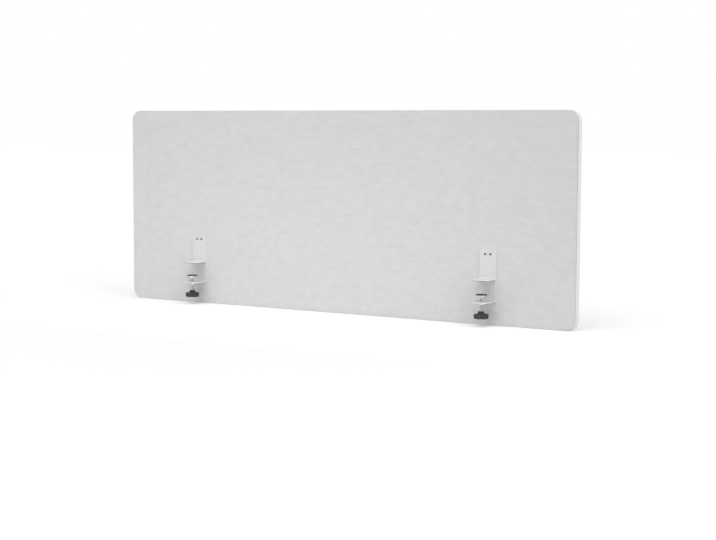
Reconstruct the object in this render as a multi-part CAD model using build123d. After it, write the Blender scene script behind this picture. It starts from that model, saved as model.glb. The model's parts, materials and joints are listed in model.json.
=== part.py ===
from build123d import *
import os
from math import sqrt

# Divider screen, in millimetres. A felt-faced panel hangs on two steel clamps, behind the edge that they grip.
# Origin: middle of that edge, level with the foot pads' undersides and on the bracket plates' front plane.
# X runs along the panel to the right, seen from its front, Y to the rear, Z up.

# Panel
PANEL_WIDTH = 1500.0
PANEL_HEIGHT = 580.0
PANEL_BELOW_DESK = 123.0
CORNER_RADIUS = 30.0
CORE_THICKNESS = 12.0
FELT_THICKNESS = 4.0
BAND_THICKNESS = 3.0
FELT_EDGE_ROUNDING = 1.2

# Clamp placing and bracket
BRACKET_SPACING = 980.0
BRACKET_WIDTH = 50.0
BRACKET_THICKNESS = 3.0
BRACKET_TOP = 84.0
BRACKET_CORNER_RADIUS = 8.0
BEND_INNER_RADIUS = 3.0
ARM_END_MARGIN = 23.0
ARM_GAP = 1.0
ARM_CORNER_RADIUS = 14.0
SHEET_EDGE_ROUNDING = 0.4

# Foot that bears from above, and its pad
FOOT_REACH = 50.0
FOOT_THICKNESS = 3.0
FOOT_CORNER_RADIUS = 10.0
WELD_LEG = 2.5
WELD_END_GAP = 2.0
FOOT_PAD_THICKNESS = 1.0
FOOT_PAD_INSET = 1.0
FOOT_PAD_REAR_GAP = 1.5

# Panel screws and their inserts
SCREW_SPACING = 16.0
SCREW_TOP_MARGIN = 14.0
SCREW_RADIUS = 1.5
SCREW_HOLE_CLEARANCE = 0.3
SCREW_HEAD_RADIUS = 2.85
SCREW_HEAD_HEIGHT = 1.65
SCREW_HEAD_LAND_RADIUS = 1.8
SCREW_SOCKET_WIDTH = 2.0
SCREW_SOCKET_DEPTH = 1.05
SCREW_TIP_CHAMFER = 0.5
INSERT_BACK_WALL = 2.0
INSERT_SPARE_THREAD = 1.0
INSERT_RADIUS = 2.5
INSERT_BARB_HEIGHT = 0.5
INSERT_BARBS = 3
INSERT_FLANGE_RADIUS = 4.0
INSERT_FLANGE_THICKNESS = 1.0

# Clamp spindle, nut and knob
DESK_THICKNESS = 36.0
THINNEST_DESK = 20.0
THICKEST_DESK = 45.0
SPINDLE_OFFSET = 35.0
SPINDLE_RADIUS = 4.0
THREAD_CLEARANCE = 0.05
THREAD_CHAMFER = 0.8
NECK_RADIUS = 2.1
NECK_LENGTH = 3.0
BALL_RADIUS = 3.2
BALL_CLEARANCE = 0.05
NUT_WIDTH = 13.0
NUT_HEIGHT = 6.5
NUT_CHAMFER = 0.9
NUT_COLLAR_RADIUS = 5.4
NUT_COLLAR_HEIGHT = 2.4
NUT_COLLAR_CLEARANCE = 0.1
KNOB_RADIUS = 20.0
KNOB_HEAD_HEIGHT = 13.0
KNOB_HUB_RADIUS = 8.5
KNOB_HUB_HEIGHT = 7.0
KNOB_LOBES = 6
KNOB_SCALLOP_RADIUS = 7.0
KNOB_SCALLOP_DEPTH = 3.6
KNOB_LOBE_ROUNDING = 2.5
KNOB_EDGE_ROUNDING = 2.0
KNOB_STUD_FLOOR = 5.0
KNOB_DISH_RADIUS = 10.0
KNOB_DISH_DEPTH = 1.0
KNOB_TOP_GAP = 0.5

# Swivel cup
CUP_RADIUS = 16.0
CUP_DISC_THICKNESS = 3.0
CUP_ROUNDING = 1.0
CUP_ROOF = 1.0
CUP_LIP = 0.5
SOCKET_WALL = 3.75
NECK_CLEARANCE = 0.5
FACING_INSET = 1.0
FACING_THICKNESS = 2.0
FACING_ROUNDING = 0.5

# Places worked out from the sizes above
PANEL_THICKNESS = CORE_THICKNESS + 2 * FELT_THICKNESS
PANEL_FRONT = BRACKET_THICKNESS
CORE_FRONT = PANEL_FRONT + FELT_THICKNESS
REAR_FELT_FRONT = CORE_FRONT + CORE_THICKNESS
PANEL_CENTRE_HEIGHT = PANEL_HEIGHT / 2 - PANEL_BELOW_DESK
SIDES = {"left": -BRACKET_SPACING / 2, "right": BRACKET_SPACING / 2}
SCREW_HEIGHT = BRACKET_TOP - SCREW_TOP_MARGIN
SCREW_HOLE_RADIUS = SCREW_RADIUS + SCREW_HOLE_CLEARANCE
INSERT_LENGTH = CORE_THICKNESS - INSERT_BACK_WALL
SCREW_LENGTH = CORE_FRONT + INSERT_LENGTH - INSERT_SPARE_THREAD
SOCKET_RADIUS = BALL_RADIUS + BALL_CLEARANCE
CUP_HEIGHT = CUP_ROOF + 2 * SOCKET_RADIUS + CUP_LIP
CUP_TOP = -DESK_THICKNESS - FACING_THICKNESS
CUP_HUB_TOP = CUP_TOP - CUP_DISC_THICKNESS
CUP_UNDERSIDE = CUP_TOP - CUP_HEIGHT
CUP_HUB_RADIUS = SOCKET_RADIUS + SOCKET_WALL
CUP_THROAT_RADIUS = NECK_RADIUS + NECK_CLEARANCE
FACING_RADIUS = CUP_RADIUS - FACING_INSET
BALL_HEIGHT = CUP_TOP - CUP_ROOF - SOCKET_RADIUS
THREAD_TOP = BALL_HEIGHT - BALL_RADIUS - NECK_LENGTH
ARM_TOP = -THICKEST_DESK - FACING_THICKNESS - CUP_HEIGHT - ARM_GAP
ARM_UNDERSIDE = ARM_TOP - BRACKET_THICKNESS
ARM_REACH = SPINDLE_OFFSET + ARM_END_MARGIN
NUT_COLLAR_HOLE_RADIUS = NUT_COLLAR_RADIUS + NUT_COLLAR_CLEARANCE
NUT_BORE_RADIUS = SPINDLE_RADIUS + THREAD_CLEARANCE
NUT_UNDERSIDE = ARM_UNDERSIDE - NUT_HEIGHT
KNOB_TOP = NUT_UNDERSIDE - (DESK_THICKNESS - THINNEST_DESK) - KNOB_TOP_GAP
KNOB_HEAD_TOP = KNOB_TOP - KNOB_HUB_HEIGHT
KNOB_UNDERSIDE = KNOB_HEAD_TOP - KNOB_HEAD_HEIGHT
SPINDLE_BOTTOM = KNOB_UNDERSIDE + KNOB_STUD_FLOOR


def along_depth(x, y, z):
    """An upright plane at a point: its own X runs right, its own Y up, its normal to the front."""
    return Plane(origin=(x, y, z), x_dir=(1, 0, 0), z_dir=(0, -1, 0))


def level(x, y, z):
    """A level plane at a point, its normal up."""
    return Plane(origin=(x, y, z))


def rod(plane, radius, length):
    """A round bar that starts on a plane and runs against its normal."""
    return extrude(plane * Circle(radius), amount=-length)


def turned(points, plane):
    """A turned piece, from its half outline as (radius, height) points, about the plane's normal."""
    side = Plane(origin=plane.origin, x_dir=plane.x_dir, z_dir=-plane.y_dir)
    outline = side * make_face(Polyline(*points, close=True))
    return revolve(outline, Axis(plane.origin, plane.z_dir))


def screw_places(x):
    """Where one clamp's two panel screws stand along X."""
    return [x - SCREW_SPACING / 2, x + SCREW_SPACING / 2]


def all_screw_places():
    return [place for x in SIDES.values() for place in screw_places(x)]


# Panel pieces

def panel_outline(inset):
    """The panel's rounded outline, drawn in by inset from its outer edge."""
    width = PANEL_WIDTH - 2 * inset
    height = PANEL_HEIGHT - 2 * inset
    return RectangleRounded(width, height, CORNER_RADIUS - inset)


def panel_layer(front, thickness, inset=BAND_THICKNESS):
    """A sheet of the panel, from its front face's place along Y."""
    return extrude(along_depth(0, front, PANEL_CENTRE_HEIGHT) * panel_outline(inset), amount=-thickness)


def core_board():
    """Rigid board, with a stepped hole for each threaded insert."""
    board = panel_layer(CORE_FRONT, CORE_THICKNESS)
    for x in all_screw_places():
        mouth = along_depth(x, CORE_FRONT, SCREW_HEIGHT)
        board -= rod(mouth, INSERT_RADIUS + INSERT_BARB_HEIGHT, INSERT_LENGTH)
        board -= rod(mouth, INSERT_FLANGE_RADIUS, INSERT_FLANGE_THICKNESS)
    return board


def front_felt():
    """Felt sheet on the clamps' side, rounded along its front edge and drilled for the panel screws."""
    sheet = panel_layer(PANEL_FRONT, FELT_THICKNESS)
    sheet = fillet(sheet.edges().group_by(Axis.Y)[0], FELT_EDGE_ROUNDING)
    for x in all_screw_places():
        sheet -= rod(along_depth(x, PANEL_FRONT, SCREW_HEIGHT), SCREW_HOLE_RADIUS, FELT_THICKNESS)
    return sheet


def rear_felt():
    """Felt sheet on the far side, rounded along its rear edge."""
    sheet = panel_layer(REAR_FELT_FRONT, FELT_THICKNESS)
    return fillet(sheet.edges().group_by(Axis.Y)[-1], FELT_EDGE_ROUNDING)


def edge_band():
    """Felt band round all four edges, rounded along its four long edges."""
    band = panel_layer(PANEL_FRONT, PANEL_THICKNESS, inset=0)
    band -= panel_layer(PANEL_FRONT, PANEL_THICKNESS)
    rims = band.edges().group_by(Axis.Y)
    return fillet(rims[0] + rims[-1], FELT_EDGE_ROUNDING)


# Bracket pieces

def clamp_bracket(x):
    """Steel strip on the panel's front, bent forward at the bottom into the arm that carries the nut."""
    middle = BRACKET_THICKNESS / 2
    side_view = Plane(origin=(x, 0, 0), x_dir=(0, 1, 0), z_dir=(1, 0, 0))
    bend = FilletPolyline(
        (middle, BRACKET_TOP),
        (middle, ARM_TOP - middle),
        (-ARM_REACH, ARM_TOP - middle),
        radius=BEND_INNER_RADIUS + middle,
    )
    profile = side_view * trace(bend, line_width=BRACKET_THICKNESS)
    strip = extrude(profile, amount=BRACKET_WIDTH / 2, both=True)
    strip = fillet(strip.edges().filter_by(Axis.Y).group_by(Axis.Z)[-1], BRACKET_CORNER_RADIUS)
    strip = fillet(strip.edges().filter_by(Axis.Z).group_by(Axis.Y)[0], ARM_CORNER_RADIUS)
    long_edges = strip.edges().filter_by(lambda edge: edge.length > 2 * BRACKET_THICKNESS)
    strip = fillet(long_edges, SHEET_EDGE_ROUNDING)
    for place in screw_places(x):
        strip -= rod(along_depth(place, 0, SCREW_HEIGHT), SCREW_HOLE_RADIUS, BRACKET_THICKNESS)
    strip -= rod(level(x, -SPINDLE_OFFSET, ARM_TOP), NUT_COLLAR_HOLE_RADIUS, BRACKET_THICKNESS)
    return strip


def foot_outline(x, inset, rear_gap, height):
    """The foot's level outline with rounded front corners, drawn in by inset on three sides."""
    width = BRACKET_WIDTH - 2 * inset
    reach = FOOT_REACH - inset - rear_gap
    plate = level(x, -rear_gap, height) * Rectangle(width, reach, align=(Align.CENTER, Align.MAX))
    return fillet(plate.vertices().group_by(Axis.Y)[0], FOOT_CORNER_RADIUS - inset)


def desk_foot(x):
    """Flat plate that bears from above, with the weld bead that joins it to the bracket."""
    underside = FOOT_PAD_THICKNESS
    top = underside + FOOT_THICKNESS
    plate = extrude(foot_outline(x, 0, 0, underside), amount=FOOT_THICKNESS)
    rims = [edge for edge in plate.edges().group_by(Axis.Z)[-1] if edge.center().Y < -SHEET_EDGE_ROUNDING]
    plate = fillet(rims, SHEET_EDGE_ROUNDING)
    side_view = Plane(origin=(x, 0, top), x_dir=(0, 1, 0), z_dir=(1, 0, 0))
    bead = side_view * make_face(Polyline((0, 0), (0, WELD_LEG), (-WELD_LEG, 0), close=True))
    return plate + extrude(bead, amount=BRACKET_WIDTH / 2 - WELD_END_GAP, both=True)


def foot_pad(x):
    """Rubber sheet under the foot."""
    return extrude(foot_outline(x, FOOT_PAD_INSET, FOOT_PAD_REAR_GAP, 0), amount=FOOT_PAD_THICKNESS)


def panel_screw(x):
    """Button-head screw with a hexagon socket, from the bracket's front into the core board."""
    seat = along_depth(x, 0, SCREW_HEIGHT)
    tip = SCREW_LENGTH - SCREW_TIP_CHAMFER
    body = turned(
        [
            (0, -SCREW_LENGTH),
            (SCREW_RADIUS - SCREW_TIP_CHAMFER, -SCREW_LENGTH),
            (SCREW_RADIUS, -tip),
            (SCREW_RADIUS, 0),
            (SCREW_HEAD_RADIUS, 0),
            (SCREW_HEAD_RADIUS, SCREW_HEAD_HEIGHT),
            (0, SCREW_HEAD_HEIGHT),
        ],
        seat,
    )
    # The head's dome is a slice of a sphere through its rim and the land round its socket.
    rise = SCREW_HEAD_HEIGHT
    drop = (SCREW_HEAD_RADIUS**2 - SCREW_HEAD_LAND_RADIUS**2 - rise**2) / (2 * rise)
    dome_radius = sqrt(SCREW_HEAD_RADIUS**2 + drop**2)
    dome = seat * Pos(0, 0, -drop) * Sphere(dome_radius)
    shank = rod(seat, SCREW_RADIUS, SCREW_LENGTH)
    socket = seat * Pos(0, 0, rise) * RegularPolygon(SCREW_SOCKET_WIDTH / 2, 6, major_radius=False)
    return (body & (dome + shank)) - extrude(socket, amount=-SCREW_SOCKET_DEPTH)


def threaded_insert(x):
    """Flanged brass insert with barbs that hold it in the core board."""
    seat = along_depth(x, CORE_FRONT, SCREW_HEIGHT)
    step = (INSERT_LENGTH - INSERT_FLANGE_THICKNESS) / INSERT_BARBS
    bore = SCREW_RADIUS + THREAD_CLEARANCE
    points = [(bore, 0), (INSERT_FLANGE_RADIUS, 0), (INSERT_FLANGE_RADIUS, -INSERT_FLANGE_THICKNESS)]
    for barb in range(INSERT_BARBS):
        start = -INSERT_FLANGE_THICKNESS - barb * step
        points += [(INSERT_RADIUS + INSERT_BARB_HEIGHT, start), (INSERT_RADIUS, start - step)]
    points += [(bore, -INSERT_LENGTH)]
    return turned(points, seat)


# Clamp mechanism

def clamp_nut(x):
    """Hexagonal weld nut under the arm, its collar centred in the arm's hole."""
    seat = level(x, -SPINDLE_OFFSET, ARM_UNDERSIDE)
    corner_radius = NUT_WIDTH / sqrt(3)
    hexagon = extrude(seat * RegularPolygon(NUT_WIDTH / 2, 6, major_radius=False), amount=-NUT_HEIGHT)
    chamfered = turned(
        [
            (0, 0),
            (corner_radius, 0),
            (corner_radius, NUT_CHAMFER / 2 - NUT_HEIGHT),
            (corner_radius - NUT_CHAMFER, -NUT_HEIGHT),
            (0, -NUT_HEIGHT),
        ],
        seat,
    )
    collar_top = level(x, -SPINDLE_OFFSET, ARM_UNDERSIDE + NUT_COLLAR_HEIGHT)
    collar = rod(collar_top, NUT_COLLAR_RADIUS, NUT_COLLAR_HEIGHT)
    bore = rod(collar_top, NUT_BORE_RADIUS, NUT_COLLAR_HEIGHT + NUT_HEIGHT)
    return (hexagon & chamfered) + collar - bore


def clamp_screw(x):
    """Spindle, from its end in the knob up to the neck and ball that carry the swivel cup."""
    stud = turned(
        [
            (0, SPINDLE_BOTTOM),
            (SPINDLE_RADIUS - THREAD_CHAMFER, SPINDLE_BOTTOM),
            (SPINDLE_RADIUS, SPINDLE_BOTTOM + THREAD_CHAMFER),
            (SPINDLE_RADIUS, THREAD_TOP - THREAD_CHAMFER),
            (SPINDLE_RADIUS - THREAD_CHAMFER, THREAD_TOP),
            (NECK_RADIUS, THREAD_TOP),
            (NECK_RADIUS, BALL_HEIGHT),
            (0, BALL_HEIGHT),
        ],
        level(x, -SPINDLE_OFFSET, 0),
    )
    return stud + Pos(x, -SPINDLE_OFFSET, BALL_HEIGHT) * Sphere(BALL_RADIUS)


def knob_outline():
    """Round outline with a scallop between each two lobes, its corners rounded off."""
    outline = Sketch() + Circle(KNOB_RADIUS)
    centre_distance = KNOB_RADIUS - KNOB_SCALLOP_DEPTH + KNOB_SCALLOP_RADIUS
    outline -= PolarLocations(centre_distance, KNOB_LOBES) * Circle(KNOB_SCALLOP_RADIUS)
    return fillet(outline.vertices(), KNOB_LOBE_ROUNDING)


def knob(x):
    """Lobed hand knob with a hub on top, a blind hole for the spindle and a shallow dish below."""
    axis = level(x, -SPINDLE_OFFSET, KNOB_HEAD_TOP)
    head = extrude(knob_outline(), amount=-KNOB_HEAD_HEIGHT)
    rims = head.edges().group_by(Axis.Z)
    head = axis * fillet(rims[0] + rims[-1], KNOB_EDGE_ROUNDING)
    hub_top = level(x, -SPINDLE_OFFSET, KNOB_TOP)
    hub = rod(hub_top, KNOB_HUB_RADIUS, KNOB_HUB_HEIGHT)
    hub = fillet(hub.edges().group_by(Axis.Z)[-1], KNOB_EDGE_ROUNDING / 2)
    dish_floor = level(x, -SPINDLE_OFFSET, KNOB_UNDERSIDE + KNOB_DISH_DEPTH)
    dish = rod(dish_floor, KNOB_DISH_RADIUS, KNOB_DISH_DEPTH)
    stud_hole = rod(hub_top, SPINDLE_RADIUS, KNOB_TOP - SPINDLE_BOTTOM)
    return head + hub - dish - stud_hole


def swivel_cup(x):
    """Pressure disc with a hub whose socket holds the spindle's ball."""
    disc = rod(level(x, -SPINDLE_OFFSET, CUP_TOP), CUP_RADIUS, CUP_DISC_THICKNESS)
    disc = fillet(disc.edges().group_by(Axis.Z)[0], CUP_ROUNDING)
    hub = rod(level(x, -SPINDLE_OFFSET, CUP_HUB_TOP), CUP_HUB_RADIUS, CUP_HUB_TOP - CUP_UNDERSIDE)
    hub = fillet(hub.edges().group_by(Axis.Z)[0], CUP_ROUNDING)
    socket = Pos(x, -SPINDLE_OFFSET, BALL_HEIGHT) * Sphere(SOCKET_RADIUS)
    throat = rod(level(x, -SPINDLE_OFFSET, BALL_HEIGHT), CUP_THROAT_RADIUS, BALL_HEIGHT - CUP_UNDERSIDE)
    return disc + hub - socket - throat


def cup_facing(x):
    """Rubber disc that presses up against what the clamp grips."""
    disc = rod(level(x, -SPINDLE_OFFSET, -DESK_THICKNESS), FACING_RADIUS, FACING_THICKNESS)
    return fillet(disc.edges().group_by(Axis.Z)[-1], FACING_ROUNDING)


def clamp_pieces(x):
    """Every piece of one clamp, by the name that follows its side."""
    return {
        "clamp_bracket": clamp_bracket(x),
        "desk_foot": desk_foot(x),
        "foot_pad": foot_pad(x),
        "panel_screws": Compound([panel_screw(place).solid() for place in screw_places(x)]),
        "threaded_inserts": Compound([threaded_insert(place).solid() for place in screw_places(x)]),
        "clamp_nut": clamp_nut(x),
        "clamp_screw": clamp_screw(x),
        "knob": knob(x),
        "swivel_cup": swivel_cup(x),
        "cup_facing": cup_facing(x),
    }


def main():
    nodes = {
        "core_board": core_board(),
        "front_felt": front_felt(),
        "rear_felt": rear_felt(),
        "edge_band": edge_band(),
    }
    for side, x in SIDES.items():
        for piece, shape in clamp_pieces(x).items():
            nodes[f"{side}_{piece}"] = shape
    os.makedirs("parts", exist_ok=True)
    for name, shape in nodes.items():
        export_step(shape, f"parts/{name}.step")


main()
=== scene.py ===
import json
from math import cos, pi, radians, sin, tau

import bmesh
import bpy
import numpy as np
from mathutils import Matrix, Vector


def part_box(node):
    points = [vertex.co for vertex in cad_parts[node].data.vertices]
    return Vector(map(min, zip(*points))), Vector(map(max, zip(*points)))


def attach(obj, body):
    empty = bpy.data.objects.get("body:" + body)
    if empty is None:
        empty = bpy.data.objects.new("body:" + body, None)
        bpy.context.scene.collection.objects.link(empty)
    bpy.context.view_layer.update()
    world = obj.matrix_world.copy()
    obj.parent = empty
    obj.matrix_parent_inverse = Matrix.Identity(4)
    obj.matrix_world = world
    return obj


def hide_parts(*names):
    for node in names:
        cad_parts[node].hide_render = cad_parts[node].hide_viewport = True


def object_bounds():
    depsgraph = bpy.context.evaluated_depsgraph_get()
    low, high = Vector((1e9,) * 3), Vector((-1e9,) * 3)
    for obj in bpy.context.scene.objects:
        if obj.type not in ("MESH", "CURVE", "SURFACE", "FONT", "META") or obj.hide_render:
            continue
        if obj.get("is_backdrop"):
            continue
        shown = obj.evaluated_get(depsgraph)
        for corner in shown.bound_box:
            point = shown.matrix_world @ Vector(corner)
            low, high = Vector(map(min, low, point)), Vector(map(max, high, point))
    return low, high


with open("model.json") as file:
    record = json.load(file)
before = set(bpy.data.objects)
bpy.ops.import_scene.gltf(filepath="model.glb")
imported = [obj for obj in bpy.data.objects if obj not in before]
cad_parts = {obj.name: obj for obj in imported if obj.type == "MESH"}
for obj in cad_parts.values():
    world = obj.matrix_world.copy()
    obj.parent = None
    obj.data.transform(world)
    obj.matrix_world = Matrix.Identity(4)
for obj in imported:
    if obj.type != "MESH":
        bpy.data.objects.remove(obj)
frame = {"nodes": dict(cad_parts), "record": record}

# Divider screen: a felt-faced board on two steel clamps. Lengths are in metres, except where a
# name ends in _mm.
MM = 0.001
scene = bpy.context.scene
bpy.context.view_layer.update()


# Shapes. Each one is a grid of points worked out as whole arrays.

MERGE_DISTANCE = 0.002 * MM


def smooth_piece(name, mesh, sharp_angle):
    """Makes the object of a mesh. Its doubled points are merged, its faces turned outwards and
    shaded smooth, and the edges where they turn by more than sharp_angle stay sharp."""
    work = bmesh.new()
    work.from_mesh(mesh)
    bmesh.ops.remove_doubles(work, verts=work.verts, dist=MERGE_DISTANCE)
    bmesh.ops.recalc_face_normals(work, faces=work.faces)
    for face in work.faces:
        face.smooth = True
    for edge in work.edges:
        edge.smooth = edge.calc_face_angle(0) < sharp_angle
    work.to_mesh(mesh)
    work.free()
    piece = bpy.data.objects.new(name, mesh)
    scene.collection.objects.link(piece)
    return piece


def grid_faces(rows, columns, wrap_rows, wrap_columns, start):
    """Quads between neighbouring points of a grid whose points are numbered from start. Where it
    wraps, its last row or column also joins its first."""
    r = np.arange(rows if wrap_rows else rows - 1)[:, None]
    c = np.arange(columns if wrap_columns else columns - 1)[None, :]
    r2, c2 = (r + 1) % rows, (c + 1) % columns
    quads = [r * columns + c, r * columns + c2, r2 * columns + c2, r2 * columns + c]
    return start + np.stack(np.broadcast_arrays(*quads), axis=-1).reshape(-1, 4)


def grid_piece(name, grids, sharp_angle=radians(40)):
    """One piece from several (points, wrap_rows, wrap_columns) grids that meet edge to edge."""
    points, faces, start = [], [], 0
    for grid, wrap_rows, wrap_columns in grids:
        rows, columns = grid.shape[:2]
        points.append(grid.reshape(-1, 3))
        faces.append(grid_faces(rows, columns, wrap_rows, wrap_columns, start))
        start += rows * columns
    mesh = bpy.data.meshes.new(name)
    mesh.from_pydata(np.concatenate(points), [], np.concatenate(faces))
    return smooth_piece(name, mesh, sharp_angle)


def rounded_ring(half_width, half_height, radius, along, up, arc=14):
    """Points round a rounded rectangle: on each corner, its centre plus the radius at even angles
    over a quarter turn, in arc steps, and between the corners even steps, along of them on a
    level side and up on an upright one. The count doesn't depend on the size, so rings of
    different sizes join into a grid."""
    turn = np.linspace(0, pi / 2, arc + 1)
    corners = []
    for quarter, (sx, sy) in enumerate([(1, 1), (-1, 1), (-1, -1), (1, -1)]):
        angle = turn + quarter * pi / 2
        centre = np.array([sx * (half_width - radius), sy * (half_height - radius)])
        corners.append(centre + radius * np.stack([np.cos(angle), np.sin(angle)], axis=1))
    ring = []
    for quarter, steps in enumerate([along, up, along, up]):
        a, b = corners[quarter][-1], corners[(quarter + 1) % 4][0]
        share = np.linspace(0, 1, steps + 1)[1:-1, None]
        ring += [corners[quarter], a + (b - a) * share]
    return np.concatenate(ring)


def round_axis(x, y, radius, height, angle):
    """Turned points: x + radius cos(angle), y + radius sin(angle), height."""
    points = x + radius * np.cos(angle), y + radius * np.sin(angle), height
    return np.stack(np.broadcast_arrays(*points), axis=2)


def quarter_round(radius, steps=6):
    """(inset, height) pairs of a rounded edge, from its foot on the side to its top on the face:
    inset is radius (1 - cos a) and height is radius (sin a - 1) from the face, for a from 0 to a
    quarter turn."""
    a = np.linspace(0, pi / 2, steps + 1)
    return np.multiply.outer(1 - np.cos(a), radius), np.multiply.outer(np.sin(a) - 1, radius)


def ring_length(ring):
    """Distance from the first point of a closed ring to each point, along the ring."""
    steps = np.linalg.norm(np.roll(ring, -1, axis=0) - ring, axis=1)
    return np.concatenate([[0], np.cumsum(steps)[:-1]])


def waves(length, ripples, seed):
    """A wandering height along a length: a sum of sines, one for each (wavelength, height) of
    the ripples, each with its own starting angle."""
    starts = np.random.default_rng(seed).uniform(0, tau, len(ripples))
    return sum(h * np.sin(tau * length / w + s) for (w, h), s in zip(ripples, starts))


# Felt

low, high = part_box("edge_band")
PANEL_HALF = np.array([high.x - low.x, high.z - low.z]) / 2
PANEL_MIDDLE = (low.z + high.z) / 2
PANEL_FRONT, PANEL_REAR = low.y, high.y
low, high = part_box("front_felt")
SHEET_HALF = np.array([high.x - low.x, high.z - low.z]) / 2
FELT_THICKNESS = high.y - low.y
BAND_THICKNESS = PANEL_HALF[0] - SHEET_HALF[0]
CORNER_RADIUS = 30 * MM
# The roundings of the band's outer edges, of a sheet's rim, and of the band's edges at the upright
# and at the level seams. The upright seams stand open by the gap.
BAND_ROUNDING, SHEET_ROUNDING = 1.2 * MM, 0.5 * MM
SEAM_ROUNDING, LEVEL_SEAM_ROUNDING = 1.7 * MM, 0.5 * MM
SEAM_GAP = 0.2 * MM
# Steps along a level and an upright side, and rings from a sheet's rim to its flat field.
ALONG, UP, CORNER_RINGS = 150, 55, 5
# Wavelength and height of each wave, round a sheet's rim, along the band and across a face.
SEAM_WANDER = (0.31, 0.1 * MM), (0.113, 0.07 * MM), (0.041, 0.05 * MM), (0.017, 0.03 * MM)
BAND_WANDER = (0.27, 0.05 * MM), (0.097, 0.05 * MM), (0.035, 0.05 * MM), (0.015, 0.05 * MM)
LONG_SWELL = (0.47, 0.12 * MM), (0.21, 0.06 * MM)
CROSS_SWELL = (0.39, 0.1 * MM), (0.16, 0.05 * MM)
# How far the swells run askew, and the distance from the field's edge over which they fade in.
LONG_SLANT, CROSS_SLANT, SWELL_FADE = 0.3, -0.2, 0.04


def panel_ring(half, radius):
    """A ring round the panel's outline, or one like it."""
    return rounded_ring(*half, radius, ALONG, UP)


def outwards(half, radius):
    """The outward direction at each point of a panel ring."""
    return (panel_ring(half + MM, radius + MM) - panel_ring(half, radius)) / MM


def upright(ring, depth):
    """Points in the panel's plane, set at a place or places along Y."""
    depths = np.broadcast_to(depth, len(ring))
    return np.stack([ring[:, 0], depths, ring[:, 1] + PANEL_MIDDLE], axis=1)


def felt_sheet(name, face, out, seed):
    """A pressed felt sheet whose face looks along Y, towards out. Its rim is a quarter round
    carried round its outline. The outline is drawn in by a gap, which goes with the square of
    the outward direction's sideways part and so leaves the level seams closed, and by waves
    that only draw it in. The face is a grid, sunk by two sets of long shallow waves that fade to
    nothing at the rim."""
    back = face - out * FELT_THICKNESS
    radius = CORNER_RADIUS - BAND_THICKNESS
    outline, outward = panel_ring(SHEET_HALF, radius), outwards(SHEET_HALF, radius)
    wander = waves(ring_length(outline), SEAM_WANDER, seed)
    gap = SEAM_GAP * outward[:, 0] ** 2 + wander.clip(0)
    rows = [upright(outline * 0, back), upright(outline, back)]
    for inset, height in zip(*quarter_round(SHEET_ROUNDING)):
        rows.append(upright(outline - outward * (inset + gap)[:, None], face + out * height))
    for inset in np.linspace(SHEET_ROUNDING, radius, CORNER_RINGS + 1)[1:]:
        rows.append(upright(panel_ring(SHEET_HALF - inset, radius - inset), face))
    half = SHEET_HALF - radius
    x, z = np.meshgrid(np.linspace(-half[0], half[0], ALONG + 1),
                       np.linspace(-half[1], half[1], UP + 1))
    fade = np.minimum((half[0] - abs(x)) / SWELL_FADE, (half[1] - abs(z)) / SWELL_FADE).clip(0, 1)
    swell = waves(x + LONG_SLANT * z, LONG_SWELL, seed + 1)
    swell += waves(z + CROSS_SLANT * x, CROSS_SWELL, seed + 2)
    depth = face - out * (abs(swell) * fade)
    field = np.stack([x, depth, z + PANEL_MIDDLE], axis=2)
    return grid_piece(name, [(np.array(rows), False, True), (field, False, False)])


def felt_band(name, seed):
    """The felt band round the panel. Its section is a rectangle with four rounded edges, carried
    round the outline. The rounding of the two edges at the seams grows from the level seams to
    the upright ones, with the square of the outward direction's sideways part. The faces are
    sunk by waves along the band."""
    outline, outward = panel_ring(PANEL_HALF, CORNER_RADIUS), outwards(PANEL_HALF, CORNER_RADIUS)
    rounding = LEVEL_SEAM_ROUNDING + (SEAM_ROUNDING - LEVEL_SEAM_ROUNDING) * outward[:, 0] ** 2
    rows = []
    for face, out in ((PANEL_REAR, 1), (PANEL_FRONT, -1)):
        dip = abs(waves(ring_length(outline), BAND_WANDER, seed + out))
        rim = list(zip(*quarter_round(np.full_like(rounding, BAND_ROUNDING))))
        seam = [(BAND_THICKNESS - i, h) for i, h in zip(*quarter_round(rounding))]
        for inset, height in (rim + seam[::-1])[::out]:
            rows.append(upright(outline - outward * inset[:, None], face + out * (height - dip)))
    return grid_piece(name, [(np.array(rows), True, True)])


# Rubber

FOOT_CORNER_RADIUS, FOOT_ROUNDING = 9 * MM, 0.35 * MM
FACING_ROUNDING, FACING_CHAMFER, FACE_INSET = 0.5 * MM, 0.2 * MM, 0.7 * MM
# The three rings on a facing.
DIP_RADII = 11.5 * MM, 8 * MM, 4.5 * MM
DIP_DEPTH, DIP_HALF_WIDTH = 0.25 * MM, 0.8 * MM
FACE_STEPS, FACING_STEPS_ROUND = 90, 96


def foot_sheet(name, x, low, high):
    """The rubber sheet under a foot: a rectangle with rounded front corners and square rear ones.
    Its rim is slightly rounded, and each ring is drawn in by its inset."""
    insets, heights = quarter_round(FOOT_ROUNDING, steps=3)
    half = np.array([high.x - low.x, high.y - low.y]) / 2
    middle = np.array([x, (low.y + high.y) / 2])

    def ring(inset, height):
        outline = rounded_ring(*(half - inset), FOOT_CORNER_RADIUS, along=6, up=6, arc=10)
        rear = outline[:, 1] > half[1] - inset - FOOT_CORNER_RADIUS
        square = np.stack([np.sign(outline[:, 0]) * (half[0] - inset), outline[:, 1]], axis=1)
        outline = np.where(rear[:, None], square, outline)
        return np.concatenate([middle + outline, np.full((len(outline), 1), height)], axis=1)

    rows = [ring(i, high.z + h) for i, h in zip(insets[::-1], heights[::-1])]
    rows += [ring(i, low.z - h) for i, h in zip(insets, heights)]
    ends = [np.full_like(rows[0], 0) + [*middle, z] for z in (high.z, low.z)]
    return grid_piece(name, [(np.array([ends[0], *rows, ends[1]]), False, True)])


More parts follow.
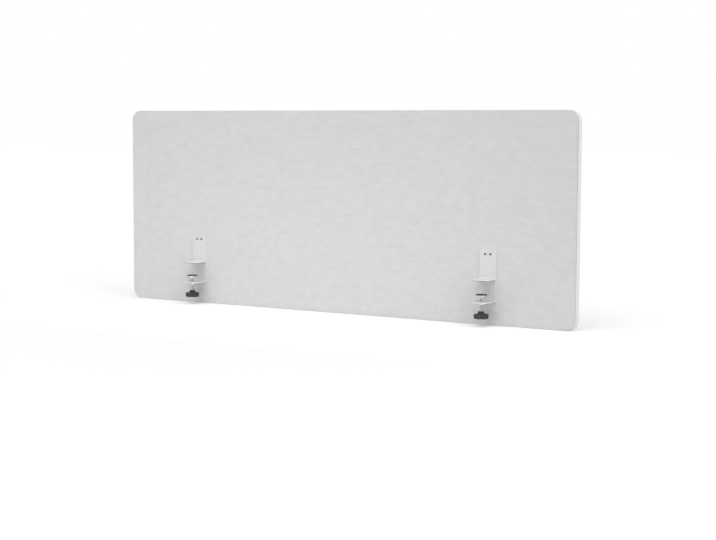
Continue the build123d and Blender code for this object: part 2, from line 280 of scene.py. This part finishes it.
def facing_disc(name, x, low, high):
    """The rubber disc on a cup: a profile of (radius, height) pairs turned round its axis. It is
    flat, with a rounded rim and three shallow rings on its face, each a dip whose depth follows
    a cosine across its width."""
    y, rim = (low.y + high.y) / 2, (high.x - low.x) / 2
    insets, heights = quarter_round(FACING_ROUNDING, steps=5)
    profile = [(0, low.z), (rim - FACING_CHAMFER, low.z), (rim, low.z + FACING_CHAMFER)]
    profile += [(rim - i, high.z + h) for i, h in zip(insets, heights)]
    across = np.linspace(rim - FACE_INSET, 0, FACE_STEPS)
    nearest = np.min([abs(across - r) for r in DIP_RADII], axis=0)
    dip = DIP_DEPTH * (1 + np.cos(pi * (nearest / DIP_HALF_WIDTH).clip(0, 1))) / 2
    profile += list(zip(across, high.z - dip))
    radius, height = np.array(profile).T[:, :, None]
    angle = np.linspace(0, tau, FACING_STEPS_ROUND, endpoint=False)
    return grid_piece(name, [(round_axis(x, y, radius, height, angle), False, True)])


# Spindle

PITCH = 1.25 * MM
SPINDLE_RADIUS = 4 * MM
THREAD_CLEARANCE, THREAD_DEPTH = 0.04 * MM, 0.68 * MM
# The flank would rise by FLANK_SLOPE over a whole pitch, in units of its own. The root's flat
# cuts it off up to FLANK_START, and the crest's from FLANK_RISE above that. It leans 36 degrees.
FLANK_SLOPE, FLANK_START, FLANK_RISE = 1.9, 0.12, 0.75
SPINDLE_CHAMFER = 0.8 * MM
NECK_RADIUS, NECK_LENGTH, BALL_RADIUS = 2.1 * MM, 3 * MM, 3.2 * MM
BAR_STEPS, BALL_STEPS, SPINDLE_STEPS_ROUND = 560, 26, 48


def threaded_spindle(name, x, y, low, high):
    """The spindle as one surface turned round its axis. Its outline is a chamfered bar, a neck
    and a ball. On the bar, the place along the pitch is height over pitch less the share of a
    turn, so the thread is a right-hand helix. It rises evenly with the distance from the nearer
    end of the pitch, cut off to a flat root and a flat crest, and the radius drops by the
    thread's depth at the root."""
    ball_height = high.z - BALL_RADIUS
    bar_top = ball_height - BALL_RADIUS - NECK_LENGTH
    height = np.linspace(low.z, bar_top, BAR_STEPS)
    ends = np.minimum(height - low.z, bar_top - height)
    bar = SPINDLE_RADIUS - SPINDLE_CHAMFER + ends.clip(0, SPINDLE_CHAMFER)
    turn = np.linspace(0, 1, SPINDLE_STEPS_ROUND, endpoint=False)
    place = (height[:, None] / PITCH - turn) % 1
    flank = FLANK_SLOPE * (0.5 - abs(place - 0.5)) - FLANK_START
    thread = flank.clip(0, FLANK_RISE) / FLANK_RISE
    thread_radius = SPINDLE_RADIUS - THREAD_CLEARANCE - THREAD_DEPTH * (1 - thread)
    radius = np.minimum(bar[:, None], thread_radius)
    lean = np.linspace(-pi / 2 + np.arcsin(NECK_RADIUS / BALL_RADIUS), pi / 2, BALL_STEPS)
    top_radius = np.concatenate([[NECK_RADIUS], BALL_RADIUS * np.cos(lean)])
    top_height = np.concatenate([[bar_top], ball_height + BALL_RADIUS * np.sin(lean)])
    radius = np.concatenate([0 * turn[None], radius, top_radius[:, None] + 0 * turn])
    height = np.concatenate([[low.z], height, top_height])[:, None]
    points = round_axis(x, y, radius, height, tau * turn)
    return grid_piece(name, [(points, False, True)], sharp_angle=radians(55))


# Materials

def linear(colour):
    """A hex sRGB colour as linear RGBA, by the sRGB standard's own curve."""
    parts = np.array([int(colour[i:i + 2], 16) for i in (1, 3, 5)]) / 255
    parts = np.where(parts <= 0.04045, parts / 12.92, ((parts + 0.055) / 1.055) ** 2.4)
    return (*parts.tolist(), 1.0)


def add(tree, kind, sets=(), **inputs):
    """Adds a node, with its settings, and links or sets its inputs. An input's name may be its
    number after an underscore."""
    made = tree.nodes.new("ShaderNode" + kind)
    for name, value in dict(sets).items():
        setattr(made, name, value)
    for name, value in inputs.items():
        key = int(name[1:]) if name[0] == "_" else name.replace("_", " ")
        socket = made.inputs[key]
        if isinstance(value, bpy.types.NodeSocket):
            tree.links.new(value, socket)
        else:
            socket.default_value = value
    return made


def finish(name, **settings):
    """A new material with a principled shader, its plain settings on the shader's own sockets:
    the material, its nodes and the shader."""
    made = bpy.data.materials.new(name)
    made.use_nodes = True
    shader = made.node_tree.nodes["Principled BSDF"]
    for key, value in settings.items():
        shader.inputs[key.replace("_", " ")].default_value = value
    return made, made.node_tree, shader


def pattern(tree, size_mm, stretch=(1, 1, 1), lean=0, detail=3, roughness=0.55, distortion=0.0):
    """Noise in object space whose grains are size_mm across. They are drawn out along each axis
    by stretch, and lean by so many degrees in the panel's plane."""
    place = add(tree, "TexCoord").outputs["Object"]
    turned = add(tree, "Mapping", Vector=place, Rotation=(0, radians(lean), 0))
    scale = tuple(1 / s for s in stretch)
    stretched = add(tree, "Mapping", Vector=turned.outputs[0], Scale=scale)
    return add(tree, "TexNoise", Vector=stretched.outputs[0], Scale=1 / (size_mm * MM),
               Detail=detail, Roughness=roughness, Distortion=distortion).outputs[0]


def vary(tree, shader, tone, relief, roughness=None):
    """Gives a shader what varies over the surface. Each starts with (pattern, share) pairs, whose
    products are added up. In tone and roughness, next come the lowest and the highest of that
    sum, and the two colours or values that these stand for. In relief, next come the bump's full
    height in millimetres and its strength."""
    def total(pairs):
        value = 0.0
        for part, share in pairs:
            value = add(tree, "Math", {"operation": "MULTIPLY_ADD"},
                        _0=part, _1=share, _2=value).outputs[0]
        return value

    pairs, (lowest, highest), (first, last) = tone
    share = add(tree, "MapRange", _0=total(pairs), _1=lowest, _2=highest).outputs[0]
    colour = add(tree, "Mix", {"data_type": "RGBA"}, _0=share, _6=linear(first), _7=linear(last))
    tree.links.new(colour.outputs[2], shader.inputs["Base Color"])
    if roughness:
        pairs, (lowest, highest), (first, last) = roughness
        value = add(tree, "MapRange", _0=total(pairs), _1=lowest, _2=highest, _3=first, _4=last)
        tree.links.new(value.outputs[0], shader.inputs["Roughness"])
    pairs, height_mm, strength = relief
    bump = add(tree, "Bump", Height=total(pairs), Distance=height_mm * MM, Strength=strength)
    tree.links.new(bump.outputs[0], shader.inputs["Normal"])


def felt(name, light, dark):
    """Needle-pressed polyester felt. Fibres of two greys lie at all angles but mostly along the
    roll, so the eye sees a soft marl, 10 to 20 mm across, with faint streaks along it and a dull
    fuzzy surface. Real fibres are 0.03 mm thick. They are drawn 0.35 mm thick here, to show."""
    made, tree, shader = finish(name, Roughness=0.95, Sheen_Weight=0.12, Sheen_Roughness=0.5,
                                Specular_IOR_Level=0.2)
    marl = pattern(tree, size_mm=17, stretch=(1.7, 1, 1), detail=4, roughness=0.6)
    streaks = pattern(tree, size_mm=5, stretch=(9, 1, 1), lean=2)
    # The web is the brightest of fibres in five directions, in degrees from the roll.
    web = 0.0
    for lean in (3, -34, 41, 77, -71):
        fibres = pattern(tree, size_mm=0.35, stretch=(10, 1, 1), lean=lean, detail=1,
                         distortion=0.5)
        fibres = add(tree, "MapRange", _0=fibres, _1=0.5, _2=0.75).outputs[0]
        web = add(tree, "Math", {"operation": "MAXIMUM"}, _0=web, _1=fibres).outputs[0]
    vary(tree, shader,
         tone=([(marl, 0.5), (streaks, 0.28), (web, 0.35)], (0.02, 0.98), (dark, light)),
         relief=([(web, 1.0), (marl, 0.4)], 0.3, 0.6))
    return made


def powder_coat(name, base, shade):
    """White polyester powder coat, baked on steel. It flows into a fine even grain about 1 mm
    across with a satin gloss. Its tone wanders at random in soft clouds, and it is painted
    darker in the hollows of the grain, as painted shade."""
    made, tree, shader = finish(name, IOR=1.5)
    grain = pattern(tree, size_mm=1.1)
    cloud = pattern(tree, size_mm=14, detail=2)
    # The grain's share of the tone is painted shade: the hollows of the bump get the darker grey.
    # The clouds' share is random tone.
    vary(tree, shader,
         tone=([(grain, 0.5), (cloud, 0.5)], (0.35, 0.65), (shade, base)),
         roughness=([(cloud, 1.0)], (0.3, 0.7), (0.4, 0.5)),
         relief=([(grain, 1.0)], 0.06, 0.5))
    return made


def zinc(name):
    """Bright zinc plate on turned and pressed steel: a pale blue-grey metal, a little cloudy,
    with fine marks left by turning and handling."""
    made, tree, shader = finish(name, Metallic=1.0)
    cloud = pattern(tree, size_mm=5, detail=4)
    marks = pattern(tree, size_mm=0.35, stretch=(1, 1, 9), detail=2)
    vary(tree, shader,
         tone=([(cloud, 1.0)], (0.35, 0.65), ("#B4B7BA", "#CFD1D2")),
         roughness=([(cloud, 0.5), (marks, 0.5)], (0.35, 0.65), (0.26, 0.44)),
         relief=([(marks, 1.0)], 0.02, 0.4))
    return made


def black_oxide(name):
    """Blackened steel, oiled: nearly black with a dull metal gleam, a little browner where it is
    thin."""
    made, tree, shader = finish(name, Metallic=0.6, IOR=1.5)
    patches = pattern(tree, size_mm=1.5, detail=4)
    vary(tree, shader,
         tone=([(patches, 1.0)], (0.35, 0.7), ("#232324", "#3A3836")),
         roughness=([(patches, 1.0)], (0.3, 0.7), (0.36, 0.52)),
         relief=([(patches, 1.0)], 0.02, 0.4))
    return made


def nylon(name):
    """Glass-filled nylon, moulded in a spark-eroded tool: black with a fine dull grain 0.4 mm
    across and slightly smoother, shinier patches where hands touch it."""
    made, tree, shader = finish(name, IOR=1.53)
    grain = pattern(tree, size_mm=0.4, detail=2)
    touched = pattern(tree, size_mm=12, detail=2)
    vary(tree, shader,
         tone=([(grain, 1.0)], (0.3, 0.75), ("#191A1B", "#2B2C2D")),
         roughness=([(touched, 1.0)], (0.35, 0.65), (0.42, 0.6)),
         relief=([(grain, 1.0)], 0.05, 0.6))
    return made


def rubber(name):
    """Moulded nitrile rubber: near black and quite matt, with a fine sanded texture and a pale
    bloom."""
    made, tree, shader = finish(name, IOR=1.52, Roughness=0.82)
    grain = pattern(tree, size_mm=0.35)
    bloom = pattern(tree, size_mm=8)
    vary(tree, shader,
         tone=([(bloom, 0.7), (grain, 0.3)], (0.4, 0.7), ("#1C1C1C", "#303030")),
         relief=([(grain, 1.0)], 0.06, 0.6))
    return made


def brass(name):
    """Plain turned brass, slightly tarnished, with fine rings from the lathe along the Y axis."""
    made, tree, shader = finish(name, Metallic=1.0)
    rings = pattern(tree, size_mm=0.25, stretch=(8, 1, 8), detail=1)
    tarnish = pattern(tree, size_mm=2)
    vary(tree, shader,
         tone=([(tarnish, 1.0)], (0.35, 0.7), ("#C9A65A", "#A88848")),
         roughness=([(tarnish, 1.0)], (0.3, 0.7), (0.25, 0.42)),
         relief=([(rings, 1.0)], 0.02, 0.4))
    return made


def fibreboard(name):
    """Medium-density fibreboard: tan wood fibres, 1 to 3 mm long, pressed flat and left bare."""
    made, tree, shader = finish(name, Roughness=0.85)
    fibres = pattern(tree, size_mm=0.5, stretch=(4, 1, 1), detail=4)
    cloud = pattern(tree, size_mm=20)
    vary(tree, shader,
         tone=([(fibres, 0.6), (cloud, 0.4)], (0.35, 0.65), ("#A08562", "#C2A884")),
         relief=([(fibres, 1.0)], 0.1, 0.5))
    return made


FINISHES = {
    "panel_felt": felt("felt_pale_grey", "#E6E6E6", "#C6C6C6"),
    "edge_felt": felt("felt_pale_grey_edge", "#E8E8E8", "#C8C8C8"),
    # The darker grey is painted shade in the grain's hollows, and also the dim side of the coat's
    # random clouds.
    "bracket_paint": powder_coat("powder_coat_white", "#DCDCDC", "#D4D4D4"),
    "zinc_steel": zinc("zinc_plate"),
    "black_steel": black_oxide("black_oxide_steel"),
    "knob_plastic": nylon("nylon_black"),
    "pad_rubber": rubber("rubber_black"),
    "insert_brass": brass("brass_turned"),
    "core_board": fibreboard("fibreboard_bare"),
}


# The dressed part

def give_finish(materials, slot):
    """Puts a slot's finish in place of a mesh's own materials."""
    materials.clear()
    materials.append(FINISHES[slot])


def dress(piece, slot, body, node):
    """Gives a new piece its finish, its body and the node that it stands for."""
    give_finish(piece.data.materials, slot)
    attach(piece, body)
    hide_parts(node)


for part in frame["record"]["subparts"]:
    give_finish(frame["nodes"][part["node"]].data.materials, part["material_slot"])

for side, face, out, seed in (("front", PANEL_FRONT, -1, 3), ("rear", PANEL_REAR, 1, 8)):
    sheet = felt_sheet(f"{side}_felt_sheet", face, out, seed)
    dress(sheet, "panel_felt", "screen", f"{side}_felt")
band = felt_band("edge_felt_band", seed=14)
dress(band, "edge_felt", "screen", "edge_band")
band_run = ring_length(panel_ring(PANEL_HALF, CORNER_RADIUS))[-1]

for side in ("left", "right"):
    low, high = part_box(f"{side}_foot_pad")
    centre = (low.x + high.x) / 2
    foot = foot_sheet(f"{side}_foot_rubber", centre, low, high)
    dress(foot, "pad_rubber", "screen", f"{side}_foot_pad")
    low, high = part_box(f"{side}_cup_facing")
    disc = facing_disc(f"{side}_facing_rubber", centre, low, high)
    dress(disc, "pad_rubber", f"{side}_pad", f"{side}_cup_facing")
    low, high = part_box(f"{side}_clamp_screw")
    depth = (low.y + high.y) / 2
    spindle = threaded_spindle(f"{side}_threaded_spindle", centre, depth, low, high)
    dress(spindle, "zinc_steel", f"{side}_spindle", f"{side}_clamp_screw")


# Floor, backdrop, light and camera

FLOOR_REACH, FLOOR_GAP = 30.0, 0.1 * MM
SUN_WIDTH, SUN_DISTANCE = radians(70), 5


def seen(tree):
    """1 for what the camera sees, also in a reflection or through glass, and 0 for the light that
    reaches the object."""
    path = add(tree, "LightPath")
    rays = path.outputs["Is Camera Ray"]
    for kind in ("Is Glossy Ray", "Is Transmission Ray"):
        rays = add(tree, "Math", {"operation": "MAXIMUM"},
                   _0=rays, _1=path.outputs[kind]).outputs[0]
    return rays


def stage_floor():
    """A pale studio floor level with the panel's bottom edge. The camera sees it lifted to the
    backdrop's white, with the object's shadow kept."""
    z = PANEL_MIDDLE - PANEL_HALF[1] - FLOOR_GAP
    reach = FLOOR_REACH
    corners = [(-reach, -reach, z), (reach, -reach, z), (reach, reach, z), (-reach, reach, z)]
    mesh = bpy.data.meshes.new("studio_floor")
    mesh.from_pydata(corners, [], [(0, 1, 2, 3)])
    floor = bpy.data.objects.new("studio_floor", mesh)
    scene.collection.objects.link(floor)
    made, tree, shader = finish("studio_floor_paint", Roughness=0.9, Specular_IOR_Level=0.0)
    colour = add(tree, "Mix", {"data_type": "RGBA"},
                 _0=seen(tree), _6=linear("#E8E8E8"), _7=linear("#FFFFFF"))
    tree.links.new(colour.outputs[2], shader.inputs["Base Color"])
    mesh.materials.append(made)
    floor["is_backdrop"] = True


def backdrop(strength):
    """World light of one plain strength, seen as white by the camera and in reflections."""
    world = bpy.data.worlds.new("studio")
    world.use_nodes = True
    scene.world = world
    tree = world.node_tree
    light = add(tree, "MapRange", _0=seen(tree), _3=strength, _4=1.0)
    shade = tree.nodes["Background"]
    shade.inputs["Color"].default_value = (1, 1, 1, 1)
    tree.links.new(light.outputs[0], shade.inputs["Strength"])


def set_up(name, data, right, up, back, at):
    """Puts a lamp or the camera in the scene at a place, looking away from back."""
    made = bpy.data.objects.new(name, data)
    scene.collection.objects.link(made)
    made.matrix_world = Matrix(np.column_stack([right, up, back, at]).tolist() + [[0, 0, 0, 1]])
    return made


def soft_sun(name, light):
    """A broad even light. The arrow light points towards it, and each of the arrow's parts is
    what it adds to the brightness of a white surface that faces that way."""
    strength = np.linalg.norm(light)
    lamp = bpy.data.lights.new(name, "SUN")
    lamp.angle, lamp.energy = SUN_WIDTH, pi * strength
    back = np.array(light) / strength
    side = np.cross([0, 1, 0], back)
    side /= np.linalg.norm(side)
    set_up(name, lamp, side, np.cross(back, side), back, back * SUN_DISTANCE)


def front_lamp(name, place, size, watts):
    """A long low soft box that faces the panel squarely, which it lights a little less towards
    its ends and its top. It stands clear of the floor, so that its light begins softly there."""
    lamp = bpy.data.lights.new(name, "AREA")
    lamp.shape, lamp.energy = "RECTANGLE", watts
    lamp.size, lamp.size_y = size
    made = set_up(name, lamp, (1, 0, 0), (0, 0, 1), (0, -1, 0), place)
    made.visible_camera = False


def camera():
    """The photograph's view: turned 32.0 degrees to the left and 5.2 degrees down from level."""
    yaw, pitch, roll = radians(31.987), radians(5.209), radians(0.25)
    turn = np.array([[cos(yaw), sin(yaw), 0], [-sin(yaw), cos(yaw), 0], [0, 0, 1]])
    face = np.array([[1, 0, 0], [0, 0, -1], [0, 1, 0]])
    tip = np.array([[1, 0, 0], [0, cos(pitch), -sin(pitch)], [0, sin(pitch), cos(pitch)]])
    lean = np.array([[cos(roll), -sin(roll), 0], [sin(roll), cos(roll), 0], [0, 0, 1]])
    right, down, ahead = lean @ tip @ face @ turn
    eye = (2.4276, -3.7631, 0.41)
    lens = bpy.data.cameras.new("camera")
    lens.sensor_fit, lens.sensor_width, lens.lens = "HORIZONTAL", 36.0, 78.84
    lens.clip_end = 200
    scene.camera = set_up("camera", lens, right, -down, -ahead, eye)


stage_floor()
backdrop(strength=0.35)
soft_sun("key_light", (0.02, -0.22, 0.43))
soft_sun("side_light", (0.62, -0.05, 0.13))
soft_sun("rear_light", (0, 0.3, 0.06))
front_lamp("front_lamp", place=(-0.1, -0.7, 0), size=(1.4, 0.15), watts=1.0)
camera()
scene.view_settings.view_transform = "Standard"

low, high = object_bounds()
